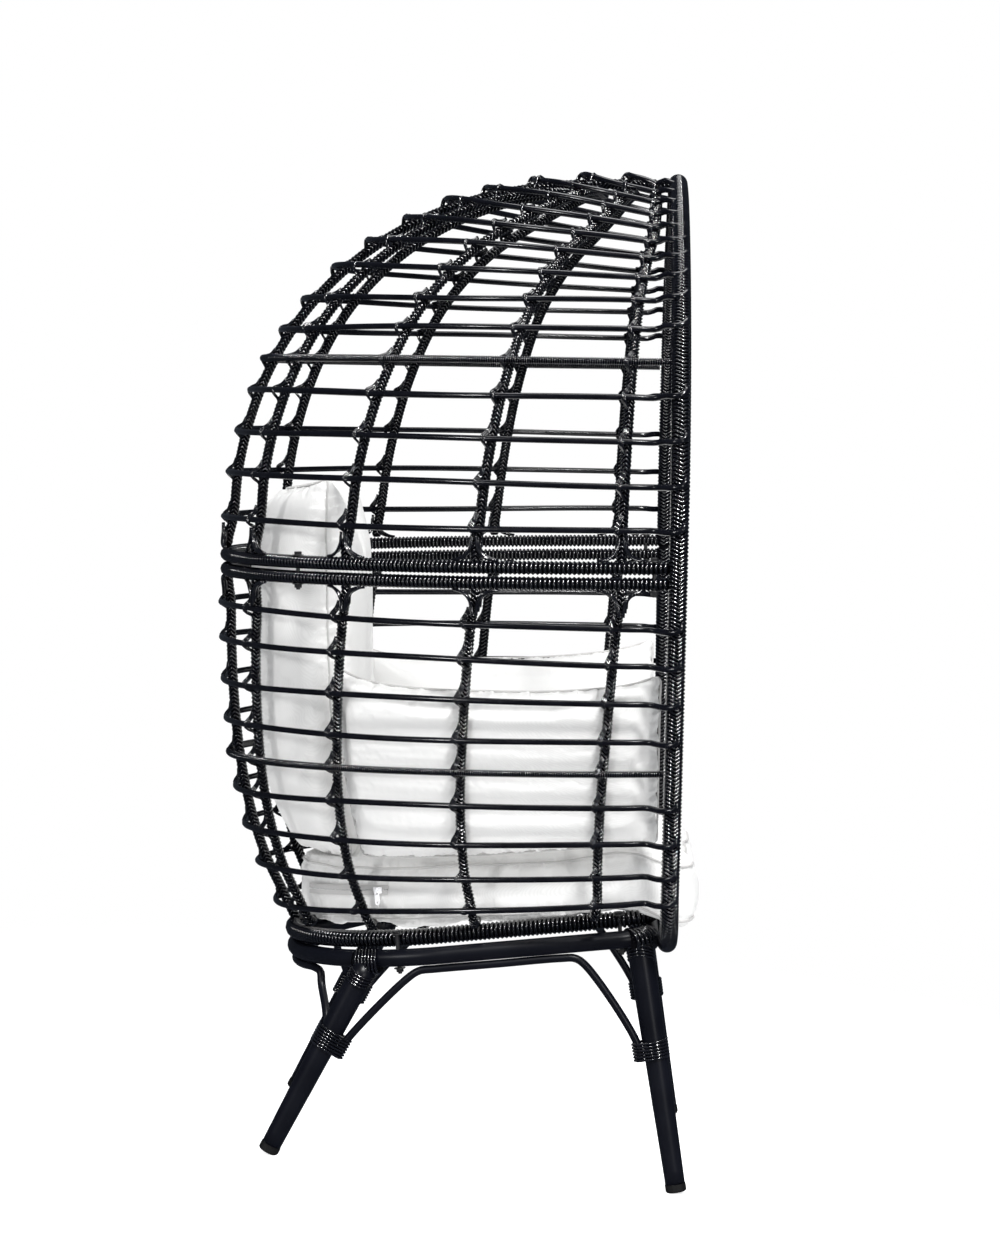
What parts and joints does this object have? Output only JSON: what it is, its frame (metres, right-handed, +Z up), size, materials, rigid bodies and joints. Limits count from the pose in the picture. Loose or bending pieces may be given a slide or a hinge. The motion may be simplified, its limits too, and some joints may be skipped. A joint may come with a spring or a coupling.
{
  "type": "egg chair",
  "caption": "Free-standing egg chair: open woven basket in bolted half shells on a ring stand with splayed legs, with loose cushions.",
  "frame": {"origin": "centre of the bounding box at the floor under the feet", "axes": "+Z up; the sitter faces -Y; the sitter's right hand is on -X"},
  "size_m": [0.8848, 0.7684, 1.4833],
  "materials": {
    "wicker": "glossy black round resin strands wound and braided over steel rod",
    "steel": "semi-gloss black powder coat",
    "foot_caps": "matt black",
    "cushion_cloth": "off-white woven polyester with boxing seams",
    "zip": "white lacquered zip runner and pull"
  },
  "bodies": {
    "chair": {"upper_strand_01": "wicker", "upper_strand_02": "wicker", "upper_strand_03": "wicker", "upper_strand_04": "wicker", "upper_strand_05": "wicker", "upper_strand_06": "wicker", "upper_strand_07": "wicker", "upper_strand_08": "wicker", "upper_strand_09": "wicker", "upper_strand_10": "wicker", "upper_strand_11": "wicker", "upper_strand_12": "wicker", "upper_strand_13": "wicker", "upper_strand_14": "wicker", "upper_stiffener_ring": "wicker", "lower_strand_01": "wicker", "lower_strand_02": "wicker", "lower_strand_03": "wicker", "lower_strand_04": "wicker", "lower_strand_05": "wicker", "lower_strand_06": "wicker", "lower_strand_07": "wicker", "lower_strand_08": "wicker", "lower_stiffener_ring": "wicker", "upper_rim_tube": "wicker", "lower_rim_tube": "wicker", "upper_joint_ring": "wicker", "lower_joint_ring": "wicker", "upper_rib_arch_1": "wicker", "upper_rib_arch_2": "wicker", "upper_rib_arch_3": "wicker", "upper_rib_arch_4": "wicker", "upper_back_rib": "wicker", "lower_rib_hoop_1": "wicker", "lower_rib_hoop_2": "wicker", "lower_rib_hoop_3": "wicker", "lower_rib_hoop_4": "wicker", "lower_back_rib": "wicker", "base_ring": "wicker", "stand_ring": "steel", "leg_rear_right": "steel", "leg_rear_left": "steel", "leg_front_right": "steel", "leg_front_left": "steel", "foot_cap_rear_right": "foot_caps", "foot_cap_rear_left": "foot_caps", "foot_cap_front_right": "foot_caps", "foot_cap_front_left": "foot_caps", "brace_right": "steel", "brace_left": "steel", "brace_rear": "steel", "seat_cushion": "cushion_cloth", "side_cushion_right": "cushion_cloth", "side_cushion_left": "cushion_cloth", "back_cushion": "cushion_cloth"},
    "zip_runner": {"zip_slider": "zip"},
    "zip_tab": {"zip_pull": "zip"}
  },
  "joints": [
    {"name": "zip_slide", "type": "slide", "parent": "chair", "child": "zip_runner", "axis": [0.4799, 0.8655, -0.1433], "range_m": [0, 0.06]},
    {"name": "zip_pull_swing", "type": "hinge", "parent": "zip_runner", "child": "zip_tab", "pos_m": [-0.15908, 0.10139, 0.39531], "axis": [0.4799, 0.8655, -0.1433], "range_deg": [0, 70]}
  ]
}
